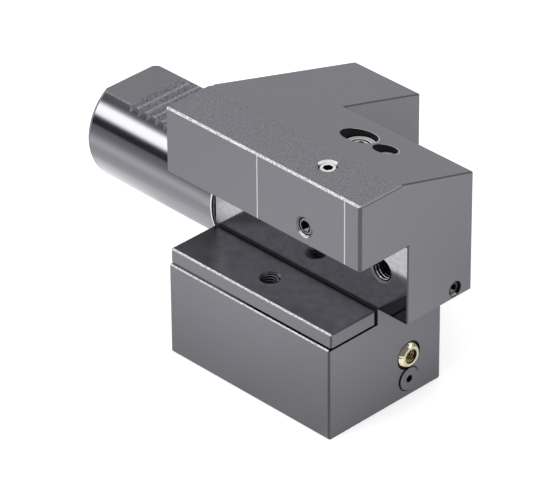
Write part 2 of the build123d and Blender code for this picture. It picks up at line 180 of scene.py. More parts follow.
class HolderColours(bpy.types.PropertyGroup):
    """Colours of the finishes."""

    body: colour_property("Body", "Nitrided body", "#85848A")
    shank: colour_property("Shank", "Ground shank", "#E4E4E9")
    wall: colour_property("Channel wall", "Finely ground wall", "#C6C6CB")
    plate: colour_property("Plate", "Hardened plate", "#7C7B80")
    edge: colour_property("Edges", "Bare steel and painted highlights on edges", "#F0F0F2")
    bore: colour_property("Bores", "Drilled bores in painted shade", "#252429")
    screw: colour_property("Screws", "Blackened screws", "#454449")
    plug: colour_property("Plugs", "Bright turned plugs", "#F6F6F6")
    brass: colour_property("Brass", "Turned brass", "#FFF2D0")
    rubber: colour_property("Rubber", "Nitrile rubber", "#0D0D0F")
    floor: colour_property("Floor", "Studio floor", "#F4F4F4")


def sizes():
    """The sizes as the user has set them."""
    return bpy.context.scene.holder_sizes


def colours():
    """The colours as the user has set them."""
    return bpy.context.scene.holder_colours


def feed(tree, socket, value):
    """Sets an input, or links it to a socket or to a node's first output."""
    if isinstance(value, bpy.types.Node):
        value = value.outputs[0]
    if isinstance(value, bpy.types.NodeSocket):
        tree.links.new(value, socket)
    else:
        socket.default_value = value


def add(tree, kind, *values, **settings):
    """A new node with its settings, and its inputs, in order or by name, linked or set."""
    node = tree.nodes.new(kind)
    for name, value in settings.items():
        setattr(node, name, value)
    by_name = values and isinstance(values[0], dict)
    for name, value in values[0].items() if by_name else enumerate(values):
        feed(tree, node.inputs[name], value)
    return node


def product(tree, first, *others):
    """Several values multiplied."""
    for share in others:
        first = add(tree, "ShaderNodeMath", first, share, operation="MULTIPLY")
    return first


def layered(tree, colour, layers):
    """A colour with others laid over it, each as far as its mask says."""
    for mask, over in layers:
        # A Mix node takes its colours in inputs 6 and 7, and gives them in output 2
        mixed = add(tree, "ShaderNodeMix", {0: mask, 6: colour, 7: over}, data_type="RGBA")
        colour = mixed.outputs[2]
    return colour


def finish_named(name, colour, metallic, roughness, specular=0.5):
    """A new material with one shader, and its tree and shader."""
    material = bpy.data.materials.new(name)
    material.use_nodes = True
    shader = material.node_tree.nodes["Principled BSDF"]
    shader.inputs["Base Color"].default_value = (*colour, 1)
    shader.inputs["Metallic"].default_value = metallic
    shader.inputs["Roughness"].default_value = roughness
    shader.inputs["Specular IOR Level"].default_value = specular
    return material, material.node_tree, shader


def place_mm(tree, stretch=(1, 1, 1)):
    """Object coordinates in millimetres, stretched along each axis."""
    coordinates = add(tree, "ShaderNodeTexCoord").outputs["Object"]
    scale = tuple(share / MM for share in stretch)
    return add(tree, "ShaderNodeMapping", {"Vector": coordinates, "Scale": scale})


def axes_mm(tree):
    """The place along X, Y and Z, in millimetres."""
    return add(tree, "ShaderNodeSeparateXYZ", place_mm(tree)).outputs


def spots(tree, scale, detail, stretch=(1, 1, 1)):
    """A share that varies in soft spots over a piece, with its scale per millimetre."""
    return add(
        tree, "ShaderNodeTexNoise", {"Vector": place_mm(tree, stretch), "Scale": scale, "Detail": detail}
    )


def from_centre(tree, across, up, centre):
    """How far a place lies from a centre along each of two axes, and straight."""
    aside = add(tree, "ShaderNodeMath", across, centre[0], operation="SUBTRACT")
    above = add(tree, "ShaderNodeMath", up, centre[1], operation="SUBTRACT")
    aside_squared = product(tree, aside, aside)
    squares = add(tree, "ShaderNodeMath", above, above, aside_squared, operation="MULTIPLY_ADD")
    return aside, above, add(tree, "ShaderNodeMath", squares, operation="SQRT")


def bump(tree, shader, height, strength, distance_mm):
    """Small relief on a shader."""
    relief = {"Height": height, "Strength": strength, "Distance": distance_mm * MM}
    feed(tree, shader.inputs["Normal"], add(tree, "ShaderNodeBump", relief))


def tone(tree, shader, factor, low, high):
    """The base colour varies between two shades of itself with a factor."""
    socket = shader.inputs["Base Color"]
    own = socket.default_value[:3]
    dark = (*(c * low for c in own), 1)
    light = (*(min(1, c * high) for c in own), 1)
    feed(tree, socket, layered(tree, dark, [(factor, light)]))


def overlay(tree, shader, mask, colour, strength=1.0):
    """Another, duller colour over a shader's own, as far as a mask and a strength say."""
    share = product(tree, mask, strength)
    socket = shader.inputs["Base Color"]
    base = socket.links[0].from_socket if socket.links else tuple(socket.default_value)
    feed(tree, socket, layered(tree, base, [(share, (*colour, 1))]))
    for name in ("Metallic", "Specular IOR Level"):
        socket = shader.inputs[name]
        own = socket.links[0].from_socket if socket.links else socket.default_value
        feed(tree, socket, add(tree, "ShaderNodeMapRange", {"Value": share, "To Min": own, "To Max": 0.0}))


def paint_shade(tree, shader, unshaded, low):
    """Painted shade on a shader where its mask is 0: dark, and without shine."""
    tone(tree, shader, unshaded, low, 1.0)
    feed(tree, shader.inputs["Specular IOR Level"], product(tree, unshaded, 0.5))


def mottled(name, colour, metallic, roughness, specular, spot, low, high):
    """A material whose tone varies in soft spots of a given width in millimetres."""
    own = linear(colour) if colour.startswith("#") else getattr(colours(), colour)
    material, tree, shader = finish_named(name, own, metallic, roughness, specular)
    tone(tree, shader, spots(tree, 1 / spot, 3.0), low, high)
    return material


def nitrided_steel():
    # Nitrided forging steel, shot and wiped: an even, dark satin grey, with painted shade that darkens it
    # towards its foot, more so near the flange, and painted highlights on the rims at the far side of the
    # slope's two holes.
    material, tree, shader = finish_named("Nitrided forged steel", colours().body, 0.35, 0.5)
    x, y, z = axes_mm(tree)
    along = add(tree, "ShaderNodeMapRange", x, 30.0, 85.0, 0.0, 0.5)
    lit = add(tree, "ShaderNodeMapRange", z, BODY_LOW.z - 6.0, BODY_LOW.z + 32.0, along, 1.0)
    cloud = spots(tree, 0.05, 3.0)
    soft = add(tree, "ShaderNodeMath", cloud, 0.3, 0.85, operation="MULTIPLY_ADD")
    tone(tree, shader, product(tree, lit, soft), 0.76, 1.0)
    above = add(tree, "ShaderNodeMath", z, SEAT_Z + 1.0, operation="GREATER_THAN")
    # Painted highlights on the slope holes' rims, at their far side and only above the seat
    for centre, radius in SLOPE_HOLES:
        aside, behind, distance = from_centre(tree, x, y, centre)
        ring = add(tree, "ShaderNodeMath", distance, radius + 0.1, 0.14, operation="COMPARE")
        slanted = add(tree, "ShaderNodeMath", aside, 0.3, behind, operation="MULTIPLY_ADD")
        rear = add(tree, "ShaderNodeMath", slanted, 0.2 * radius, operation="GREATER_THAN")
        overlay(tree, shader, product(tree, ring, rear, above), colours().edge, 0.7)
    bump(tree, shader, spots(tree, 2.5, 2.0), 0.25, 0.02)
    return material


def scribed_steel():
    # The jaw's front, nitrided like the rest, with two upright scribed lines that show bare steel.
    material, tree, shader = finish_named("Scribed nitrided steel", colours().body, 0.35, 0.5)
    x = axes_mm(tree)["X"]
    for place in SCRIBED_X:
        line = add(tree, "ShaderNodeMath", x, place, 0.2, operation="COMPARE")
        overlay(tree, shader, line, colours().edge, 0.6)
    return material


def plate_side_steel():
    # The plate's front and ends, nitrided like the body, with painted shade along the joint behind.
    material, tree, shader = finish_named("Nitrided plate side", colours().body, 0.35, 0.5)
    y = axes_mm(tree)["Y"]
    paint_shade(tree, shader, add(tree, "ShaderNodeMapRange", y, PLATE_HIGH.y - 0.8, PLATE_HIGH.y - 0.95), 0.02)
    return material


def ledge_steel():
    # The ledge under the plate: nitrided, with painted black shade from the middle of the plate to its end.
    material, tree, shader = finish_named("Nitrided ledge with painted shade", colours().body, 0.35, 0.5)
    paint_shade(tree, shader, add(tree, "ShaderNodeMapRange", axes_mm(tree)["X"], 38.0, 20.0), 0.03)
    return material


def end_steel():
    # The body's end face: nitrided steel with painted shade, darker towards its foot and lighter at its
    # top, and a dark line under the jaw's top.
    material, tree, shader = finish_named("Nitrided end face", colours().body, 0.35, 0.5)
    y, z = axes_mm(tree)[1:]
    height = add(tree, "ShaderNodeMapRange", z, BODY_LOW.z, BODY_LOW.z + 32.0)
    tone(tree, shader, height, 0.77, 1.08)
    ahead = add(tree, "ShaderNodeMath", y, CREASE_Y, operation="LESS_THAN")
    high = add(tree, "ShaderNodeMath", z, JAW_TOP_Z - 0.85, operation="GREATER_THAN")
    overlay(tree, shader, product(tree, high, ahead), linear("#38373C"), 0.6)
    return material


def peened_steel():
    # The jaw's top is shot peened: fine dimples that sparkle in light and dark grains.
    material, tree, shader = finish_named("Peened nitrided steel", colours().body, 0.35, 0.55)
    grain = 1 / sizes().grain
    dimples = spots(tree, grain, 4.0)
    tone(tree, shader, add(tree, "ShaderNodeMapRange", dimples, 0.35, 0.65), 0.74, 1.26)
    bump(tree, shader, dimples, 0.7, 0.12)
    return material


def ground_shank_steel():
    # Cylindrically ground and polished steel: long bright and dark streaks, fine rings round it,
    # and beside the seal ring a painted highlight line, then painted black shade up to the flange.
    material, tree, shader = finish_named("Cylindrically ground steel", colours().shank, 1.0, 0.13)
    bump(tree, shader, spots(tree, 4.0, 2.0, (1, 0, 0)), 0.1, 0.005)
    x = axes_mm(tree)["X"]
    for behind, colour in ((1.25, colours().edge), (0.75, colours().rubber)):
        start = SEAL_GROOVE_X - behind
        overlay(tree, shader, add(tree, "ShaderNodeMapRange", x, start, start + 0.1), colour)
    return material


def ground_wall_steel():
    # Finely ground channel wall: nearly a mirror, with faint marks along the channel and smudges of
    # coolant, painted shade just above the plate, a painted dark reflection beyond the plate's end, and
    # lighter above them.
    material, tree, shader = finish_named("Finely ground steel", colours().wall, 1.0, 0.1)
    smudges = spots(tree, 0.7, 5.0)
    soft = add(tree, "ShaderNodeMath", smudges, 0.5, 0.45, operation="MULTIPLY_ADD")
    place = axes_mm(tree)
    unshaded = add(tree, "ShaderNodeMapRange", place["Z"], PLATE_HIGH.z + 0.1, PLATE_HIGH.z + 1.9)
    beyond = add(tree, "ShaderNodeMath", place["X"], PLATE_HIGH.x, operation="SUBTRACT")
    above = add(tree, "ShaderNodeMath", place["Z"], PLATE_HIGH.z, operation="SUBTRACT")
    # The painted dark reflection starts at the plate's end, and its upper edge rises from there
    rise = add(tree, "ShaderNodeMath", beyond, -0.89, above, operation="MULTIPLY_ADD")
    painted_dark_reflection = add(tree, "ShaderNodeMapRange", rise, -0.1, 0.2, 0.1, 1.0)
    tone(tree, shader, product(tree, unshaded, painted_dark_reflection, soft), 0.12, 1.55)
    bump(tree, shader, spots(tree, 3.0, 2.0, (0.02, 1, 1)), 0.08, 0.004)
    return material


def ground_plate_steel():
    # Hardened and ground plate: darker than the wall, a blurred mirror with smudges of coolant,
    # painted shade along its rear edge, and a painted dark reflection that grows towards its flange end.
    material, tree, shader = finish_named("Hardened ground steel", colours().plate, 1.0, 0.35)
    smudges = spots(tree, 0.25, 6.0)
    soft = add(tree, "ShaderNodeMath", smudges, 0.6, 0.4, operation="MULTIPLY_ADD")
    x, y = axes_mm(tree)[:2]
    forward = add(tree, "ShaderNodeMath", PLATE_HIGH.y, y, operation="SUBTRACT")
    unshaded = add(tree, "ShaderNodeMapRange", forward, 0.5, 1.2)
    # The painted dark reflection's edge runs slanted across the plate
    from_end = add(tree, "ShaderNodeMath", forward, -1.02, x, operation="MULTIPLY_ADD")
    painted_dark_reflection = add(tree, "ShaderNodeMapRange", from_end, -3.0, 3.0, 0.35, 1.0)
    tone(tree, shader, product(tree, soft, unshaded, painted_dark_reflection), 0.18, 1.4)
    return material


def rack_steel():
    # Broached rack: a dull grey a little lighter than the flat, as painted light that evens out the shade
    # on the teeth's flanks, torn by the broach into fine light and dark specks.
    material, tree, shader = finish_named("Broached rack steel", linear("#8E8D95"), 0.2, 0.6)
    torn = spots(tree, 1.3, 4.0)
    tone(tree, shader, add(tree, "ShaderNodeMapRange", torn, 0.35, 0.65), 0.66, 1.32)
    bump(tree, shader, torn, 0.6, 0.2)
    return material


def bare_edge_steel():
    # Edges broken with a file after the heat treatment: bare steel, used as painted highlights where light
    # falls: thin, broken light lines.
    material, tree, shader = finish_named("Bare filed steel as painted highlight", colours().edge, 0.2, 0.5)
    specks = spots(tree, 3.0, 3.0)
    tone(tree, shader, add(tree, "ShaderNodeMapRange", specks, 0.38, 0.58), 0.36, 1.1)
    return material


def worn_screw_steel():
    # The plug in the jaw's front: its face worn light by the key, with painted shade round the socket.
    material, tree, shader = finish_named("Worn screw steel", linear("#A8A7AC"), 0.4, 0.35)
    place = axes_mm(tree)
    centre = middle("jaw_front_plug")
    distance = from_centre(tree, place["X"], place["Z"], (centre.x, centre.z))[2]
    worn = spots(tree, 1.2, 3.0)
    tone(tree, shader, worn, 0.6, 1.35)
    overlay(tree, shader, add(tree, "ShaderNodeMapRange", distance, 2.3, 2.0), colours().rubber)
    return material


def faced_steel():
    # The faces of the slope's plug and washer: turned bright, with dark rings where the steps meet.
    material, tree, shader = finish_named("Faced bright steel", colours().plug, 0.0, 0.3)
    x, y = axes_mm(tree)[:2]
    distance = from_centre(tree, x, y, middle("slope_plug"))[2]
    outer = add(tree, "ShaderNodeMath", distance, 4.75, 0.12, operation="COMPARE")
    inner = add(tree, "ShaderNodeMath", distance, 3.75, 0.12, operation="COMPARE")
    rings = add(tree, "ShaderNodeMath", outer, inner, operation="MAXIMUM")
    tone(tree, shader, add(tree, "ShaderNodeMapRange", rings, 1.0, 0.0), 0.06, 1.0)
    return material


# Finishes whose tone only varies in soft spots: the material's name, its colour in hex or as one of
# HolderColours, metallic, roughness, specular level, a spot's width in millimetres, darkest and
# lightest tone
MOTTLED = {
    # The flange's end face and the chamfers at the jaw's top end: nitrided steel painted a little brighter,
    # as painted light
    "wiped": ("Nitrided steel with painted light", "#97969C", 0.35, 0.5, 0.5, 8.0, 0.95, 1.05),
    # Milled flat: plain dark steel with a dull, even face
    "milled": ("Milled dark steel", "#828187", 0.5, 0.45, 0.5, 0.6, 0.85, 1.15),
    # Chamfers turned away from the light: painted shade, a darker line than the faces beside them
    "dark_edge": ("Milled edge in painted shade", "#58575C", 0.2, 0.5, 0.5, 0.6, 0.7, 1.3),
    # Drilled bores: painted shade, nearly black
    "bore": ("Drilled steel in painted shade", "bore", 0.6, 0.5, 0.5, 0.7, 0.7, 1.3),
    # Painted shade in joints, grooves and sockets: black and dull
    "oil": ("Painted black shade", "#151418", 0.0, 0.8, 0.0, 0.4, 0.6, 1.4),
    # Painted shade in the open joint behind the plate: a very dark grey, where light still reaches
    "joint": ("Painted shade in a joint", "#343338", 0.0, 0.8, 0.0, 0.4, 0.6, 1.4),
    # Blackened screws: dark grey with a soft sheen
    "black": ("Blackened screw steel", "screw", 0.6, 0.4, 0.5, 0.5, 0.85, 1.15),
    # The lock screw: plain grey steel with a dull shine
    "grey": ("Plain screw steel", "#747379", 0.4, 0.4, 0.5, 0.5, 0.85, 1.15),
    # Turned and zinc plated plugs: nearly white, with soft highlights; also a painted highlight on lit
    # walls of sockets and bores
    "bright": ("Zinc plated steel", "plug", 0.15, 0.3, 0.5, 0.5, 0.8, 1.2),
    # Turned brass: pale gold, cream in the light and brown in its grooves
    "brass": ("Turned brass", "brass", 0.9, 0.12, 0.5, 0.6, 0.85, 1.1),
    # The ball's flat and the cone at its thread's mouth: a pale cream copy of the brass with little shine,
    # painted light
    "brass_mouth": ("Pale brass with painted light", "#FFF7DA", 0.1, 0.35, 0.5, 0.6, 0.95, 1.08),
    # The crests of the thread through the ball: cream and less shiny than the outside, painted light inside
    # the hole
    "brass_crests": ("Brass crests with painted light", "#F6D48C", 0.3, 0.3, 0.5, 0.3, 0.8, 1.1),
    # The grooves of the thread through the ball: dark brown, painted shade
    "brass_grooves": ("Brass grooves in painted shade", "#1E1003", 0.0, 0.5, 0.1, 0.3, 0.7, 1.3),
    # Moulded nitrile rubber: black and slightly oily
    "rubber": ("Nitrile rubber", "rubber", 0.0, 0.7, 0.0, 0.5, 0.7, 1.3),
    # Drawn spring wire: grey steel with a soft shine
    "wire": ("Drawn spring wire", "#8E8E92", 1.0, 0.3, 0.5, 0.4, 0.85, 1.1),
}
# Finishes that have a function of their own
FINISHES = {
    "nitrided": nitrided_steel,
    "scribed": scribed_steel,
    "end": end_steel,
    "peened": peened_steel,
    "shank": ground_shank_steel,
    "rack": rack_steel,
    "wall": ground_wall_steel,
    "ledge": ledge_steel,
    "plate": ground_plate_steel,
    "plate_side": plate_side_steel,
    "edge": bare_edge_steel,
    "worn": worn_screw_steel,
    "faced": faced_steel,
}
MADE = {}


def finish(name):
    """The material of a finish, made once."""
    if name not in MADE:
        MADE[name] = mottled(*MOTTLED[name]) if name in MOTTLED else FINISHES[name]()
    return MADE[name]


def dress(obj, choose, names):
    """Gives each face of an object the finish that choose picks from its corners and normal."""
    obj.data.materials.clear()
    for name in names:
        obj.data.materials.append(finish(name))
    places = [vertex.co / MM for vertex in obj.data.vertices]
    for face in obj.data.polygons:
        corners = [places[i] for i in face.vertices]
        face.material_index = names.index(choose(corners, face.normal))


def new_tree(name, labels):
    """A node tree with float inputs: the tree, its sockets by label, and its inputs' values."""
    tree = bpy.data.node_groups.new(name, "GeometryNodeTree")
    sockets = {}
    for label in labels:
        sockets[label] = tree.interface.new_socket(label, in_out="INPUT", socket_type="NodeSocketFloat")
    return tree, sockets, tree.nodes.new("NodeGroupInput").outputs[: len(labels)]


def threaded_core(tree, radius, depth, pitch, length, fade):
    """A bar along Z with a thread on it that fades out at the ends."""
    turns = add(tree, "ShaderNodeMath", length, pitch, operation="DIVIDE")
    rings = product(tree, turns, 10.0)
    shape = {"Vertices": 48, "Side Segments": rings, "Radius": 1.0, "Depth": length}
    bar = add(tree, "GeometryNodeMeshCylinder", shape, fill_type="NGON")
    x, y, z = add(tree, "ShaderNodeSeparateXYZ", add(tree, "GeometryNodeInputPosition")).outputs
    angle = add(tree, "ShaderNodeMath", y, x, operation="ARCTAN2")
    turn = add(tree, "ShaderNodeMath", angle, math.tau, operation="DIVIDE")
    along = add(tree, "ShaderNodeMath", z, pitch, operation="DIVIDE")
    phase = add(tree, "ShaderNodeMath", along, turn, operation="SUBTRACT")
    wave = add(tree, "ShaderNodeMath", phase, 0.5, operation="PINGPONG")
    crest = product(tree, wave, 2.0)
    half = add(tree, "ShaderNodeMath", length, 2.0, operation="DIVIDE")
    from_middle = add(tree, "ShaderNodeMath", z, operation="ABSOLUTE")
    to_end = add(tree, "ShaderNodeMath", half, from_middle, operation="SUBTRACT")
    height = product(tree, crest, add(tree, "ShaderNodeMapRange", to_end, 0.0, fade))
    valley = add(tree, "ShaderNodeMath", 1.0, height, operation="SUBTRACT")
    drop = product(tree, valley, depth)
    reach = add(tree, "ShaderNodeMath", radius, drop, operation="SUBTRACT")
    spot = add(tree, "ShaderNodeCombineXYZ", product(tree, x, reach), product(tree, y, reach), z)
    return add(tree, "GeometryNodeSetPosition", {"Geometry": bar, "Position": spot})


def shifted(tree, geometry, height):
    """A shape moved up along Z."""
    lift = add(tree, "ShaderNodeCombineXYZ", {"Z": height})
    return add(tree, "GeometryNodeTransform", {"Geometry": geometry, "Translation": lift})


def closing(tree, geometry, material):
    """Ends a tree: one real mesh with its material."""
    real = add(tree, "GeometryNodeRealizeInstances", geometry)
    painted = add(tree, "GeometryNodeSetMaterial", {"Geometry": real, "Material": material})
    out = tree.nodes.new("NodeGroupOutput")
    tree.interface.new_socket("Geometry", in_out="OUTPUT", socket_type="NodeSocketGeometry")
    feed(tree, out.inputs[0], painted)


def run_tree(tree, sockets, values):
    """The mesh that a node tree makes with the given input values, in millimetres."""
    holder = bpy.data.objects.new("Maker", bpy.data.meshes.new("Maker"))
    bpy.context.scene.collection.objects.link(holder)
    modifier = holder.modifiers.new("Make", "NODES")
    modifier.node_group = tree
    for name, value in values.items():
        modifier[sockets[name].identifier] = float(value)
    bpy.context.view_layer.update()
    ready = holder.evaluated_get(bpy.context.evaluated_depsgraph_get())
    mesh = bpy.data.meshes.new_from_object(ready)
    used = [material for material in mesh.materials if material]
    mesh.materials.clear()
    for material in used:
        mesh.materials.append(material)
    mesh.polygons.foreach_set("material_index", [0] * len(mesh.polygons))
    holder.modifiers.remove(modifier)
    bpy.data.objects.remove(holder)
    if not mesh.polygons:
        raise RuntimeError(f"{tree.name} made no faces")
    return mesh


def set_screw_tree(material):
    """A headless screw along Z with a hexagonal socket in its upper end."""
    labels = ("Radius", "Thread depth", "Pitch", "Length", "Point", "Across flats", "Socket depth")
    tree, sockets, given = new_tree("Set screw", labels)
    radius, thread_depth, pitch, length, point, flats, socket_depth = given
    core = threaded_core(tree, radius, thread_depth, pitch, length, point)
    corner = add(tree, "ShaderNodeMath", flats, math.sqrt(3), operation="DIVIDE")
    shape = {"Vertices": 6, "Radius": corner, "Depth": product(tree, socket_depth, 2.0)}
    key = add(tree, "GeometryNodeMeshCylinder", shape)
    top = add(tree, "ShaderNodeMath", length, 2.0, operation="DIVIDE")
    parts = {"Mesh 1": core, "Mesh 2": shifted(tree, key, top)}
    closing(tree, add(tree, "GeometryNodeMeshBoolean", parts, operation="DIFFERENCE"), material)
    return tree, sockets


def tapped_sleeve_tree(material):
    """The threaded lining of a tapped hole, along Z."""
    labels = ("Wall radius", "Radius", "Thread depth", "Pitch", "Length")
    tree, sockets, (wall_radius, radius, thread_depth, pitch, length) = new_tree("Tapped lining", labels)
    long = add(tree, "ShaderNodeMath", length, product(tree, pitch, 2.0), operation="ADD")
    core = threaded_core(tree, radius, thread_depth, pitch, long, 0.01)
    shape = {"Vertices": 48, "Radius": wall_radius, "Depth": length}
    outer = add(tree, "GeometryNodeMeshCylinder", shape)
    parts = {"Mesh 1": outer, "Mesh 2": core}
    closing(tree, add(tree, "GeometryNodeMeshBoolean", parts, operation="DIFFERENCE"), material)
    return tree, sockets


def coil_tree(material):
    """A round wire coil along Z."""
    labels = ("Mean radius", "Wire radius", "Turns", "Height")
    tree, sockets, (mean_radius, wire_radius, turns, height) = new_tree("Coil", labels)
    shape = {"Resolution": 32, "Rotations": turns, "Height": height}
    shape.update({"Start Radius": mean_radius, "End Radius": mean_radius})
    path = add(tree, "GeometryNodeCurveSpiral", shape)
    section = add(tree, "GeometryNodeCurvePrimitiveCircle", {"Resolution": 12, "Radius": wire_radius})
    sweep = {"Curve": path, "Profile Curve": section, "Fill Caps": True}
    closing(tree, add(tree, "GeometryNodeCurveToMesh", sweep), material)
    return tree, sockets


def ball_tree(material):
    """A ball along Z with two flats, a tapped hole and a cone at the hole's mouth."""
    labels = ("Radius", "Flat", "Thread radius", "Thread depth", "Pitch")
    tree, sockets, (radius, flat, thread_radius, thread_depth, pitch) = new_tree("Nozzle ball", labels)
    ball = add(tree, "GeometryNodeMeshUVSphere", {"Segments": 64, "Rings": 48, "Radius": radius})
    width = product(tree, flat, 2.0)
    slab = add(tree, "GeometryNodeMeshCylinder", {"Vertices": 64, "Radius": 9.0, "Depth": width})
    flattened = add(tree, "GeometryNodeMeshBoolean", operation="INTERSECT")
    for solid in (ball, slab):
        feed(tree, flattened.inputs["Mesh 2"], solid)
    long = add(tree, "ShaderNodeMath", width, product(tree, pitch, 2.0), operation="ADD")
    core = threaded_core(tree, thread_radius, thread_depth, pitch, long, 0.01)
    mouth = product(tree, thread_radius, 2.0)
    shape = {"Vertices": 48, "Radius Top": mouth, "Radius Bottom": 0.0, "Depth": mouth}
    cone = add(tree, "GeometryNodeMeshCone", shape)
    inset = add(tree, "ShaderNodeMath", flat, product(tree, thread_radius, 1.04), operation="SUBTRACT")
    whole = flattened
    for cutter in (core, shifted(tree, cone, inset)):
        parts = {"Mesh 1": whole, "Mesh 2": cutter}
        whole = add(tree, "GeometryNodeMeshBoolean", parts, operation="DIFFERENCE")
    closing(tree, whole, material)
    return tree, sockets


def paint(mesh, name, picked):
    """Gives the faces of a mesh that picked chooses, by centre and normal, another finish."""
    mesh.materials.append(finish(name))
    number = len(mesh.materials) - 1
    for face in mesh.polygons:
        if picked(face.center, face.normal):
            face.material_index = number


def shade_socket(mesh, top, towards, depth, reach):
    """Paints shade into a placed screw's socket; in a level screw the socket's lowest wall gets a painted
    highlight.
    """

    def inside(spot, normal):
        away = spot / MM - top
        along = away.dot(towards)
        return (away - along * towards).length < reach and -depth - 0.1 < along < -0.05

    paint(mesh, "oil", inside)
    if abs(towards.z) < 0.5:
        paint(mesh, "bright", lambda spot, normal: normal.z > 0.8 and inside(spot, normal))


def settle(name, mesh, centre, towards, body, replaced=()):
    """Places a mesh in millimetres along a direction, as a piece on a body."""
    turn = towards.to_track_quat("Z", "Y").to_matrix().to_4x4()
    mesh.transform(Matrix.Scale(MM, 4) @ Matrix.Translation(centre) @ turn)
    mesh.shade_smooth()
    mesh.set_sharp_from_angle(angle=math.radians(SHARP_DEGREES))
    piece = bpy.data.objects.new(name, mesh)
    bpy.context.scene.collection.objects.link(piece)
    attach(piece, body)
    if replaced:
        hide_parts(*replaced)
    return piece


def bore_part(corners, normal, point, direction, radius):
    """Part of a bore that a face is: its wall, its mouth, its floor, or None."""
    distances = []
    for corner in corners:
        away = corner - point
        distances.append((away - away.dot(direction) * direction).length)
    along = abs(normal.dot(direction))
    if along > 0.9:
        return "floor" if max(distances) < radius + 0.1 else None
    # A face that reaches 1.2 mm outside the wall, or 0.7 mm inside it, isn't part of the bore
    if max(distances) > radius + 1.2 or min(distances) < radius - 0.7:
        return None
    return "mouth" if along > 0.3 else "wall"


def bore_finish(part, point, normal):
    """Finish of part of a bore: painted shade in most walls, milled steel on most mouths, and a painted
    highlight where a plug hole's wall or mouth faces the light.
    """
    if part == "mouth":
        if point == JAW_TOP_HOLE:
            return "bright" if normal.x - normal.y > 0.5 else "milled"
        if point == JAW_FRONT_HOLE:
            return "edge" if normal.z > 0.5 and normal.x > -0.35 else "milled"
        return "bore" if point == END_HOLE else "milled"
    lit = point == JAW_TOP_HOLE and normal.x - normal.y > 0.8
    lit = lit or (point == END_HOLE and normal.z > 0.75 and normal.y > -0.4)
    return "bright" if lit and part == "wall" else "bore"


def shank_finish(centre, normal):
    """Finish of a face on the shank."""
    from_axis = math.hypot(centre.y, centre.z)
    # In the seal groove: a painted highlight on the wall that faces +X, painted shade on the rest
    if centre.x > SEAL_GROOVE_X - 0.1 and from_axis < SHANK_R - 0.05:
        return "edge" if normal.x > 0.5 else "oil"
    if abs(normal.x) > 0.4 or from_axis < SHANK_R - 1.2:
        in_rack = centre.z > FLAT_Z - 2 and RACK_X[0] < centre.x < RACK_X[1]
        return "rack" if in_rack else "milled"
    if centre.x < FLAT_START_X and centre.z > FLAT_Z - 0.5 and normal.z > 0.9:
        return "milled" if abs(normal.y) < 0.1 else "rack"
    return "shank"


def on_plane(first, second):
    """Whether two places along an axis are the same, in millimetres."""
    return abs(first - second) < 0.05


def square_finish(centre, normal):
    """Finish of a face on one of the body's ground, marked or end planes, or None."""
    if normal.y < -SQUARE:
        if on_plane(centre.y, WALL_Y):
            return "wall"
        # The recess behind the wall, in the joint behind the plate: painted shade
        if 0 < centre.y - WALL_Y < 0.8:
            return "joint"
        if on_plane(centre.y, FRONT_Y) and centre.z > SEAT_Z:
            return "scribed"
    if normal.z < -SQUARE and on_plane(centre.z, SEAT_Z):
        return "wall"
    if normal.z > SQUARE and on_plane(centre.z, JAW_TOP_Z):
        return "peened"
    if normal.z > SQUARE and on_plane(centre.z, LEDGE_Z):
        return "ledge"
    # The flange's end face gets painted light
    if normal.x > SQUARE and centre.x > FLANGE_X[0]:
        return "wiped" if centre.x < FLANGE_X[1] else "end"
    return None


def body_finish(corners, normal):
    """Finish of a face on the body."""
    centre = sum(corners, Vector()) / len(corners)
    if centre.x < -0.02:
        return shank_finish(centre, normal)
    for point, direction, radius in BORES:
        part = bore_part(corners, normal, point, direction, radius)
        if part:
            return bore_finish(part, point, normal)
    square = square_finish(centre, normal)
    if square:
        return square
    # Chamfers: painted shade beside the ledge, painted light at the jaw's top end, a painted highlight
    # where they face up and to the front, and painted shade elsewhere
    if max(abs(c) for c in normal) < 0.8 and normal.z > -0.3:
        if normal.x > 0.5 and centre.y < WALL_Y and abs(centre.z - LEDGE_Z) < 0.5:
            return "oil"
        if normal.x > 0.5 and centre.z > JAW_TOP_Z - 0.6:
            return "wiped"
        return "edge" if normal.z > 0.5 and normal.y < -0.5 else "dark_edge"
    return "nitrided"


class DressBody(bpy.types.Operator):
    """Gives each surface of the body its finish"""

    bl_idname = "holder.dress_body"
    bl_label = "Body"

    def execute(self, context):
        body = NODES["holder_body"]
        faces = ["nitrided", "scribed", "peened", "shank", "wall", "milled", "rack"]
        edges = ["edge", "dark_edge", "bore", "bright", "oil", "joint", "ledge", "wiped", "end"]
        dress(body, body_finish, faces + edges)
        return {"FINISHED"}


class DressPlate(bpy.types.Operator):
    """Gives the clamping plate its ground faces and bare edges"""

    bl_idname = "holder.dress_plate"
    bl_label = "Clamping plate"

    def execute(self, context):
        hole = middle("plate_retaining_screw")

        def choose(corners, normal):
            part = bore_part(corners, normal, hole, ALONG_Z, 3.05)
            if part:
                return "plate" if part == "mouth" else "bore"
            if abs(normal.z) > SQUARE:
                return "plate"
            if max(abs(normal.x), abs(normal.y)) > SQUARE:
                return "plate_side"
            # Chamfers: painted shade at the rear and foot, a painted highlight where they face up and to
            # the front, painted shade elsewhere
            if normal.y > 0.5 and normal.z > 0.5:
                return "joint"
            if normal.z < -0.3 or normal.y > 0.5:
                return "ledge" if normal.y < -0.5 else "oil"
            return "edge" if normal.y < -0.5 and normal.z > 0.5 else "dark_edge"

        names = ["plate", "plate_side", "edge", "dark_edge", "oil", "joint", "bore", "ledge"]
        dress(NODES["clamping_plate"], choose, names)
        return {"FINISHED"}


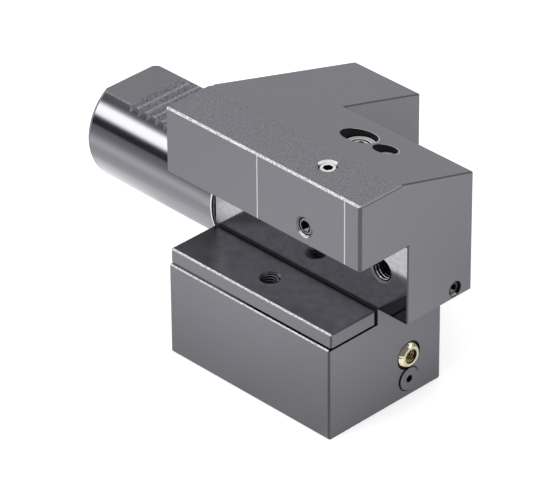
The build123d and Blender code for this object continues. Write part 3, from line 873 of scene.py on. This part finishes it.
class AddThreads(bpy.types.Operator):
    """Adds the threads in the stop hole and in the plate's hole"""

    bl_idname = "holder.add_threads"
    bl_label = "Tapped holes"

    def execute(self, context):
        # Both linings are painted black shade, with lighter crests
        tree, sockets = tapped_sleeve_tree(finish("oil"))
        values = {"Wall radius": 3.99, "Radius": 3.95, "Thread depth": 0.61, "Length": 11.3}
        values["Pitch"] = sizes().stop_pitch
        mesh = run_tree(tree, sockets, values)
        settle("stop_hole_thread", mesh, STOP_HOLE + ALONG_Y * 6.3, ALONG_Y, "holder")

        # Crests in the stop hole get lighter finishes the lower and nearer its mouth they lie: painted
        # light
        def crest_before(depth, height):
            def picked(spot, normal):
                away = spot / MM - STOP_HOLE
                crest = math.hypot(away.x, away.z) < 3.55 and abs(normal.y) < 0.95
                return crest and away.z < height and away.y < depth

            return picked

        paint(mesh, "bore", crest_before(6.0, 4.0))
        paint(mesh, "milled", crest_before(3.4, -0.5))
        paint(mesh, "edge", crest_before(2.4, -2.0))
        spot = middle("plate_retaining_screw")
        top = PLATE_HIGH.z - 0.6
        bottom = corner_mm("plate_retaining_screw")[1].z + 0.02
        values = {"Wall radius": 3.04, "Radius": 3.0, "Thread depth": 0.54, "Length": top - bottom}
        values["Pitch"] = sizes().plug_pitch
        mesh = run_tree(tree, sockets, values)
        paint(mesh, "milled", lambda at, normal: math.hypot(at.x, at.y) < 2.68 and abs(normal.z) < 0.95)
        centre = Vector((spot.x, spot.y, (top + bottom) / 2))
        settle("plate_hole_thread", mesh, centre, ALONG_Z, "plate")
        return {"FINISHED"}


class AddScrews(bpy.types.Operator):
    """Adds the threaded clamp screws and plugs"""

    bl_idname = "holder.add_screws"
    bl_label = "Screws and plugs"

    def execute(self, context):
        trees = {name: set_screw_tree(finish(name)) for name in ("black", "worn", "bright")}

        def screw(node, towards, body, pitch, flats, socket_depth, look="black"):
            low, high = corner_mm(node)
            size = high - low
            length = abs(size.dot(towards))
            values = {
                "Radius": (sum(size) - length) / 4,
                "Thread depth": 0.6 * pitch,
                "Pitch": pitch,
                "Length": length,
                "Point": 0.7 * pitch,
                "Across flats": flats,
                "Socket depth": socket_depth,
            }
            mesh = run_tree(*trees[look], values)
            settle(node + "_threaded", mesh, middle(node), towards, body, [node])
            shade_socket(mesh, middle(node) + towards * length / 2, towards, socket_depth, 0.6 * flats)

        for number in range(1, 5):
            name = f"clamp_screw_{number}"
            screw(name, -ALONG_Z, name, sizes().clamp_pitch, 5.0, 6.0)
        pitch = sizes().plug_pitch
        screw("jaw_front_plug", -ALONG_Y, "holder", pitch, 3.0, 3.0, "worn")
        screw("jaw_top_plug", ALONG_Z, "holder", pitch, 3.0, 3.0, "bright")
        screw("end_plug", ALONG_X, "holder", 0.8 * pitch, 2.5, 2.5)
        screw("flange_plug", ALONG_Y, "holder", 1.25 * pitch, 4.0, 4.0)
        return {"FINISHED"}


class AddSpring(bpy.types.Operator):
    """Adds the plate's return spring"""

    bl_idname = "holder.add_spring"
    bl_label = "Return spring"

    def execute(self, context):
        low, high = corner_mm("plate_return_spring")
        wire = 0.45
        tree, sockets = coil_tree(finish("wire"))
        values = {
            "Mean radius": (high.x - low.x) / 2 - wire,
            "Wire radius": wire,
            "Turns": sizes().spring_turns,
            "Height": high.z - low.z - 2 * wire,
        }
        mesh = run_tree(tree, sockets, values)
        spot = middle("plate_return_spring")
        start = Vector((spot.x, spot.y, low.z + wire))
        replaced = ["plate_return_spring"]
        spring = settle("return_spring", mesh, start, ALONG_Z, "holder", replaced)
        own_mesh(spring)
        return {"FINISHED"}


class AddNozzle(bpy.types.Operator):
    """Adds the brass nozzle ball"""

    bl_idname = "holder.add_nozzle"
    bl_label = "Nozzle ball"

    def execute(self, context):
        tree, sockets = ball_tree(finish("brass"))
        low, high = corner_mm("nozzle_ball")
        values = {
            "Radius": (high.z - low.z) / 2,
            "Flat": (high.x - low.x) / 2,
            "Thread radius": BALL_THREAD_R,
            "Thread depth": 0.45,
            "Pitch": sizes().nozzle_pitch,
        }
        mesh = run_tree(tree, sockets, values)

        def between(inner, outer):
            return lambda at, normal: inner < math.hypot(at.x, at.y) < outer and abs(normal.z) < 0.95

        def faces_axis(spot, normal):
            inward = spot.x * normal.x + spot.y * normal.y < -0.01 and math.hypot(spot.x, spot.y) > 2.5
            return normal.z > 0.95 or (inward and normal.z > 0.5)

        # Crests get painted light, grooves painted shade, and the flat and mouth a paler copy of the brass
        # as painted light
        paint(mesh, "brass_crests", between(-1, BALL_CREST_R))
        paint(mesh, "brass_grooves", between(BALL_CREST_R, BALL_THREAD_R + 0.05))
        paint(mesh, "brass_mouth", faces_axis)
        centre = middle("nozzle_ball")
        settle("nozzle_ball_turned", mesh, centre, ALONG_X, "nozzle", ["nozzle_ball"])
        return {"FINISHED"}


class DressSmallParts(bpy.types.Operator):
    """Gives the remaining small parts their finish"""

    bl_idname = "holder.dress_small_parts"
    bl_label = "Rings, plugs and screws"

    def execute(self, context):
        plain = {
            "shank_seal_ring": "rubber",
            "nozzle_seal_ring": "rubber",
            "slope_plug_washer": "faced",
            "slope_cap": "bright",
            "plate_retaining_screw": "black",
        }
        for node, name in plain.items():
            dress(NODES[node], lambda corners, normal, pick=name: pick, [name])
        socketed = {"slope_plug": ("faced", ALONG_Z, 2.9), "nozzle_lock_screw": ("grey", ALONG_X, 1.46)}
        for node, (name, axis, reach) in socketed.items():
            spot = middle(node)

            # Inside the socket: painted shade; the rim's side faces, except those turned to the rear:
            # painted black shade
            def choose(corners, normal):
                away = [corner - spot for corner in corners]
                inside = max((v - v.dot(axis) * axis).length for v in away) < reach
                rim = abs(normal.dot(axis)) < 0.9 and normal.y < 0.3
                return "bore" if inside else "oil" if rim else name

            dress(NODES[node], choose, [name, "bore", "oil"])
        return {"FINISHED"}


def lamp(name, place, size, power, target):
    """A soft area lamp that points at a target and isn't mirrored in the steel."""
    data = bpy.data.lights.new(name, "AREA")
    data.shape = "SQUARE"
    data.size = size
    data.energy = power
    obj = bpy.data.objects.new(name, data)
    obj.location = place
    obj.rotation_euler = (Vector(target) - Vector(place)).to_track_quat("-Z", "Y").to_euler()
    obj.visible_glossy = False
    bpy.context.scene.collection.objects.link(obj)
    return obj


def level_ramp(tree, value, low, high, levels):
    """Grey levels over a range of a value, as a colour ramp with a violet tinge in its darks."""
    ramp = add(tree, "ShaderNodeValToRGB", add(tree, "ShaderNodeMapRange", value, low, high))
    stops = ramp.color_ramp.elements
    while len(stops) < len(levels):
        stops.new(0.5)
    for stop, (place, level) in zip(stops, levels):
        stop.position = (place - low) / (high - low)
        stop.color = (level + 0.002, level, level + 0.01, 1)
    return ramp


def by_ray(tree, lit, mirrored, shown):
    """One shader for light that falls on things, one for polished steel and one for the camera."""
    path = add(tree, "ShaderNodeLightPath")
    unseen = add(tree, "ShaderNodeMixShader", path.outputs["Is Glossy Ray"], lit, mirrored)
    return add(tree, "ShaderNodeMixShader", path.outputs["Is Camera Ray"], unseen, shown)


def studio_world():
    """Even light; polished steel sees bright panels at the left and a dark room at the right."""
    world = bpy.data.worlds.new("Studio")
    bpy.context.scene.world = world
    world.use_nodes = True
    tree = world.node_tree
    tree.nodes.clear()
    direction = add(tree, "ShaderNodeTexCoord").outputs["Generated"]
    x, y, z = add(tree, "ShaderNodeSeparateXYZ", direction).outputs
    front = level_ramp(tree, z, 0.0, 1.0, LEFT_PANELS)
    rear = level_ramp(tree, z, 0.0, 1.0, REAR_PANELS)
    left = layered(tree, front, [(add(tree, "ShaderNodeMapRange", y, 0.0, 0.4), rear)])
    behind = add(tree, "ShaderNodeMapRange", y, 0.2, 0.35)
    high = add(tree, "ShaderNodeMapRange", z, 0.4, 0.55)
    right = layered(tree, grey(0.1), [(product(tree, behind, high), grey(0.95))])
    seen = layered(tree, left, [(add(tree, "ShaderNodeMapRange", x, 0.0, 0.3), right)])
    mirrored = add(tree, "ShaderNodeBackground", {"Color": seen, "Strength": MIRROR_STRENGTH})
    even = add(tree, "ShaderNodeBackground", {"Color": grey(1), "Strength": 0.85})
    white = add(tree, "ShaderNodeBackground", {"Color": grey(1), "Strength": 1.0})
    add(tree, "ShaderNodeOutputWorld", {"Surface": by_ray(tree, even, mirrored, white)})


def floor_mirrored(tree, x, y):
    """What polished steel sees on the floor, by the place in metres."""
    left = add(tree, "ShaderNodeMapRange", x, -0.06, -0.052)
    ahead = add(tree, "ShaderNodeMapRange", y, -0.066, -0.073)
    under_ball = add(tree, "ShaderNodeMapRange", x, 0.065, 0.075)
    close = add(tree, "ShaderNodeMapRange", y, -0.055, -0.045)
    past_end = add(tree, "ShaderNodeMapRange", x, 0.085, 0.09)
    behind = add(tree, "ShaderNodeMapRange", y, 0.035, 0.045)
    layers = (
        (product(tree, left, ahead), grey(0.62)),
        (add(tree, "ShaderNodeMapRange", x, 0.025, 0.03), grey(0.15)),
        (product(tree, under_ball, close), grey(0.8)),
        (add(tree, "ShaderNodeMapRange", y, -0.035, 0.0), level_ramp(tree, x, -0.1, 0.15, FLOOR_REAR)),
        (product(tree, past_end, behind), grey(0.03)),
        (add(tree, "ShaderNodeMapRange", x, 0.115, 0.135), grey(0.8)),
    )
    return layered(tree, level_ramp(tree, y, -0.5, 0.0, FLOOR_FRONT), layers)


def floor_finish():
    """Pale floor: white to the camera with the shadow kept, and shaded to the polished steel."""
    material = bpy.data.materials.new("Studio floor")
    material.use_nodes = True
    tree = material.node_tree
    tree.nodes.clear()
    place = add(tree, "ShaderNodeTexCoord").outputs["Object"]
    x, y = add(tree, "ShaderNodeSeparateXYZ", place).outputs[:2]
    plain = add(tree, "ShaderNodeBsdfDiffuse", {"Color": (*colours().floor, 1)})
    lift = add(tree, "ShaderNodeEmission", {"Color": grey(1), "Strength": 0.45})
    shown = add(tree, "ShaderNodeAddShader", plain, lift)
    level = floor_mirrored(tree, x, y)
    mirrored = add(tree, "ShaderNodeEmission", {"Color": level, "Strength": MIRROR_STRENGTH})
    by_end = level_ramp(tree, x, 0.0, 0.3, FLOOR_BOUNCE)
    beside = add(tree, "ShaderNodeMapRange", y, -0.09, -0.06)
    returned = add(tree, "ShaderNodeBsdfDiffuse", {"Color": layered(tree, grey(0.9), [(beside, by_end)])})
    add(tree, "ShaderNodeOutputMaterial", {"Surface": by_ray(tree, returned, mirrored, shown)})
    return material


def photo_camera():
    """Camera at the photograph's angle, worked out from the holder's edges."""
    data = bpy.data.cameras.new("Camera")
    data.sensor_fit = "HORIZONTAL"
    data.sensor_width = 36
    data.lens = 275.44
    data.clip_end = 20
    camera = bpy.data.objects.new("Camera", data)
    right = Vector((0.70352189, 0.71064407, -0.0064773))
    up = Vector((-0.37734293, 0.38125352, 0.84395383))
    back = Vector((0.60222028, -0.59129583, 0.53637671))
    turn = Matrix((right, up, back)).transposed().to_4x4()
    camera.matrix_world = Matrix.Translation(Vector((846.47, -823.97, 726.298)) * MM) @ turn
    bpy.context.scene.collection.objects.link(camera)
    bpy.context.scene.camera = camera


class SetStage(bpy.types.Operator):
    """Sets the floor, the light and the camera"""

    bl_idname = "holder.set_stage"
    bl_label = "Stage"

    def execute(self, context):
        mesh = bpy.data.meshes.new("Floor")
        z = BODY_LOW.z * MM
        mesh.from_pydata([(-4, -4, z), (4, -4, z), (4, 4, z), (-4, 4, z)], [], [(0, 1, 2, 3)])
        mesh.materials.append(floor_finish())
        floor = bpy.data.objects.new("floor", mesh)
        context.scene.collection.objects.link(floor)
        lamp("soft_key", place=(-0.08, -0.93, 0.38), size=0.5, power=4.0, target=(0.02, 0, 0))
        studio_world()
        photo_camera()
        context.scene.view_settings.view_transform = "Standard"
        return {"FINISHED"}


class HolderPanel(bpy.types.Panel):
    """Lists the holder's pieces"""

    bl_idname = "VIEW3D_PT_tool_holder"
    bl_label = "Tool Holder"
    bl_space_type = "VIEW_3D"
    bl_region_type = "UI"
    bl_category = "Tool Holder"

    def draw(self, context):
        column = self.layout.column()
        for step in STEPS:
            column.operator(step.bl_idname)
        for group in (sizes(), colours()):
            for name in group.__annotations__:
                column.prop(group, name)


STEPS = (DressBody, DressPlate, AddThreads, AddScrews, AddSpring, AddNozzle, DressSmallParts, SetStage)
CLASSES = (HolderSizes, HolderColours, *STEPS, HolderPanel)


def register():
    """Registers the classes, and gives the scene its sizes and colours."""
    for kind in CLASSES:
        bpy.utils.register_class(kind)
    bpy.types.Scene.holder_sizes = bpy.props.PointerProperty(type=HolderSizes)
    bpy.types.Scene.holder_colours = bpy.props.PointerProperty(type=HolderColours)


def unregister():
    """Takes back what register did."""
    del bpy.types.Scene.holder_sizes
    del bpy.types.Scene.holder_colours
    for kind in reversed(CLASSES):
        bpy.utils.unregister_class(kind)


def main():
    """Runs every step in order."""
    register()
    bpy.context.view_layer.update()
    for step in STEPS:
        area, name = step.bl_idname.split(".")
        getattr(getattr(bpy.ops, area), name)()


if __name__ == "__main__":
    main()
